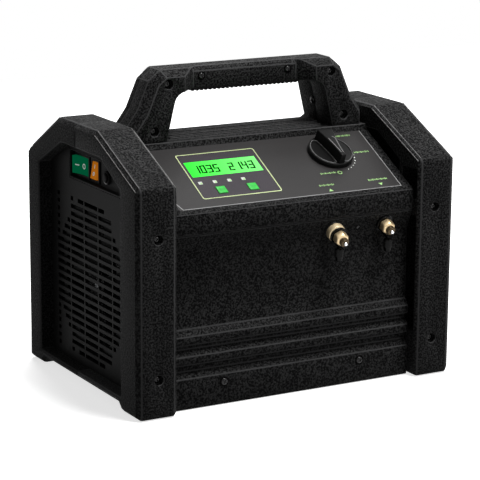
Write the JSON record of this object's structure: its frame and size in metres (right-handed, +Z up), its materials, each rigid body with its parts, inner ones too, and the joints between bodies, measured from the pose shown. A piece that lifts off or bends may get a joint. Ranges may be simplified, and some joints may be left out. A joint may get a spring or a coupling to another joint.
{
  "type": "refrigerant recovery machine",
  "caption": "Portable refrigerant recovery machine with end frames, carrying handle, sloped control panel, rocker switches, selector knob and capped flare ports.",
  "frame": {"origin": "centre of the bounding box, on the floor under the feet", "axes": "+X towards the end without the rocker switches, -Y towards the user at the control panel, +Z up"},
  "size_m": [0.4, 0.2936, 0.355],
  "materials": {
    "textured_black": "pebble texture, black",
    "smooth_black": "satin, black",
    "overlay_grey": "printed film, dark grey",
    "key_green": "satin, green",
    "clear_window": "clear",
    "rocker_green": "gloss, green",
    "rocker_amber": "gloss, amber",
    "brass": "machined",
    "copper": "drawn copper tube",
    "aluminium": "cast and machined",
    "zinc_steel": "zinc plated",
    "dark_steel": "black oxide",
    "rubber": "moulded, black",
    "board_green": "solder mask, green",
    "motor_black": "satin black paint"
  },
  "bodies": {
    "machine": {"aux_switch_body": "smooth_black", "base_plate": "zinc_steel", "breaker_body": "smooth_black", "condenser": "aluminium", "control_board": "board_green", "control_housing": "textured_black", "control_overlay": "overlay_grey", "crankcase": "aluminium", "discharge_line": "copper", "display_window": "clear_window", "fan_shroud": "smooth_black", "front_cylinder": "aluminium", "front_panel": "textured_black", "handle_front": "textured_black", "handle_rear": "textured_black", "inlet_filter_housing": "brass", "inlet_port": "brass", "left_foot_front": "rubber", "left_foot_rear": "rubber", "left_frame_front": "textured_black", "left_frame_rear": "textured_black", "left_frame_screw_high": "dark_steel", "left_frame_screw_low": "dark_steel", "left_grille": "smooth_black", "left_leg_screw_high": "dark_steel", "left_leg_screw_low": "dark_steel", "liquid_line": "copper", "motor_cradle": "zinc_steel", "motor_housing": "motor_black", "outlet_port": "brass", "power_board": "board_green", "power_inlet": "smooth_black", "power_switch_body": "smooth_black", "pressure_switch": "brass", "rear_cylinder": "aluminium", "rear_panel": "textured_black", "right_foot_front": "rubber", "right_foot_rear": "rubber", "right_frame_front": "textured_black", "right_frame_rear": "textured_black", "right_frame_screw_high": "dark_steel", "right_frame_screw_low": "dark_steel", "right_grille": "smooth_black", "right_leg_screw_high": "dark_steel", "right_leg_screw_low": "dark_steel", "suction_line": "copper", "switch_tray": "smooth_black", "valve_block": "aluminium", "valve_body": "brass"},
    "power_rocker_body": {"power_rocker": "rocker_green"},
    "aux_rocker_body": {"aux_rocker": "rocker_amber"},
    "breaker_button_body": {"breaker_button": "smooth_black"},
    "left_key_body": {"left_key": "key_green"},
    "right_key_body": {"right_key": "key_green"},
    "selector": {"selector_knob": "smooth_black", "valve_stem": "zinc_steel"},
    "rotor": {"drive_shaft": "zinc_steel", "fan_rotor": "smooth_black"},
    "inlet_cap_body": {"inlet_cap": "rubber"},
    "outlet_cap_body": {"outlet_cap": "rubber"}
  },
  "joints": [
    {"name": "power_rocker_hinge", "type": "hinge", "parent": "machine", "child": "power_rocker_body", "pos_m": [-0.17725, 0.0438, 0.2452], "axis": [0, 0, 1], "range_deg": [-20, 0]},
    {"name": "aux_rocker_hinge", "type": "hinge", "parent": "machine", "child": "aux_rocker_body", "pos_m": [-0.17725, 0.0103, 0.2452], "axis": [0, 1, 0], "range_deg": [-20, 0]},
    {"name": "breaker_button_slide", "type": "slide", "parent": "machine", "child": "breaker_button_body", "axis": [1, 0, 0], "range_m": [0, 0.0025], "stiffness_N_per_m": 400, "springref_m": -0.001},
    {"name": "left_key_slide", "type": "slide", "parent": "machine", "child": "left_key_body", "axis": [0, 0.4664, -0.8846], "range_m": [0, 0.0008], "stiffness_N_per_m": 1500, "springref_m": -0.0004},
    {"name": "right_key_slide", "type": "slide", "parent": "machine", "child": "right_key_body", "axis": [0, 0.4664, -0.8846], "range_m": [0, 0.0008], "stiffness_N_per_m": 1500, "springref_m": -0.0004},
    {"name": "selector_hinge", "type": "hinge", "parent": "machine", "child": "selector", "pos_m": [0.082, -0.05707, 0.25286], "axis": [0, -0.4664, 0.8846], "range_deg": [-45, 130]},
    {"name": "rotor_spin", "type": "hinge", "parent": "machine", "child": "rotor", "pos_m": [0, 0.0108, 0.11799], "axis": [1, 0, 0], "continuous": true},
    {"name": "inlet_cap_swing", "type": "hinge", "parent": "machine", "child": "inlet_cap_body", "pos_m": [0.05006, -0.11751, 0.18158], "axis": [0, -0.9174, -0.398], "range_deg": [-60, 60]},
    {"name": "outlet_cap_swing", "type": "hinge", "parent": "machine", "child": "outlet_cap_body", "pos_m": [0.11696, -0.11751, 0.18158], "axis": [0, -0.9174, -0.398], "range_deg": [-60, 60]}
  ]
}
